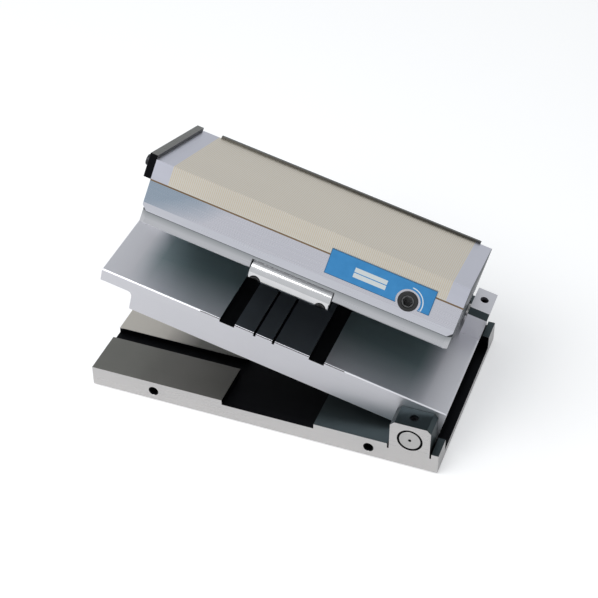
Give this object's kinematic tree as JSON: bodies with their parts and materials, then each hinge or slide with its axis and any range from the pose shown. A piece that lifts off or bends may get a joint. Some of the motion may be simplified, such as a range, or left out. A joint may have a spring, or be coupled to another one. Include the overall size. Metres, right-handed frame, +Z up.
{
  "type": "compound sine magnetic chuck",
  "caption": "Magnetic chuck on a compound sine base: a fine-pole work face that tilts lengthways and crossways on hinges, set by gauge blocks under rollers.",
  "frame": {"origin": "centre of the base plate's underside", "axes": "+X along the length towards the lower hinge, +Y from the switch side towards the upper hinge, +Z up"},
  "size_m": [0.2914, 0.165, 0.2015],
  "materials": {
    "ground_steel": "finely ground",
    "roller_steel": "hardened and polished",
    "pin_steel": "turned and ground",
    "screw_steel": "black oxide",
    "pole_steel": "finely ground",
    "brass": "ground flush with the steel",
    "blue_plate": "printed aluminium plate",
    "bush_plastic": "moulded",
    "seal_rubber": "moulded",
    "runner_plastic": "low friction strip",
    "carrier_aluminium": "milled",
    "magnet": "sintered magnet",
    "stop_steel": "ground, darkened edges"
  },
  "bodies": {
    "base": {"base_plate": "ground_steel", "lower_hinge_pin_near": "pin_steel", "lower_hinge_pin_far": "pin_steel", "ear_clamp_screws": "screw_steel"},
    "swivel": {"swivel_plate": "ground_steel", "lower_sine_roller": "roller_steel", "lower_roller_screws": "screw_steel", "upper_hinge_pin_left": "pin_steel", "upper_hinge_pin_right": "pin_steel", "block_clamp_screws": "screw_steel"},
    "chuck": {"sine_plate": "ground_steel", "upper_sine_roller": "roller_steel", "upper_roller_screws": "screw_steel", "sine_plate_screws": "screw_steel", "bottom_cover": "ground_steel", "cover_screws": "screw_steel", "chuck_housing": "ground_steel", "separator_sheet": "brass", "top_plate": "pole_steel", "pole_spacers": "brass", "top_plate_screws": "screw_steel", "name_plate": "blue_plate", "carrier_runners": "runner_plastic", "end_stop_screws": "screw_steel", "back_rail_screws": "screw_steel", "shaft_bush": "bush_plastic"},
    "magnet_block": {"magnet_carrier": "carrier_aluminium", "magnet_bars": "magnet", "carrier_poles": "pole_steel"},
    "switch": {"switch_shaft": "pin_steel", "shaft_seal": "seal_rubber"},
    "end_stop": {"end_stop": "stop_steel"},
    "back_rail": {"back_rail": "stop_steel"}
  },
  "joints": [
    {"name": "lengthwise_tilt", "type": "hinge", "parent": "base", "child": "swivel", "pos_m": [0.1205, 0, 0.027], "axis": [0, 1, 0], "range_deg": [-12.5, 32.5]},
    {"name": "cross_tilt", "type": "hinge", "parent": "swivel", "child": "chuck", "pos_m": [0.00481, 0.0468, 0.08266], "axis": [-0.9763, 0, 0.2164], "range_deg": [-22.3, 22.7]},
    {"name": "magnet_slide", "type": "slide", "parent": "chuck", "child": "magnet_block", "axis": [0.9763, 0, -0.2164], "range_m": [0, 0.008]},
    {"name": "switch_turn", "type": "hinge", "parent": "chuck", "child": "switch", "pos_m": [0.10247, -0.04483, 0.12773], "axis": [-0.0821, 0.9252, -0.3705], "range_deg": [0, 180]},
    {"name": "end_stop_height", "type": "slide", "parent": "chuck", "child": "end_stop", "axis": [0.2003, 0.3795, 0.9033], "range_m": [-0.004, 0.002]},
    {"name": "back_rail_height", "type": "slide", "parent": "chuck", "child": "back_rail", "axis": [0.2003, 0.3795, 0.9033], "range_m": [-0.004, 0.002]}
  ],
  "couplings": [
    {"joint": "switch_turn", "follows": "magnet_slide", "rad_per_m": 392.69}
  ]
}
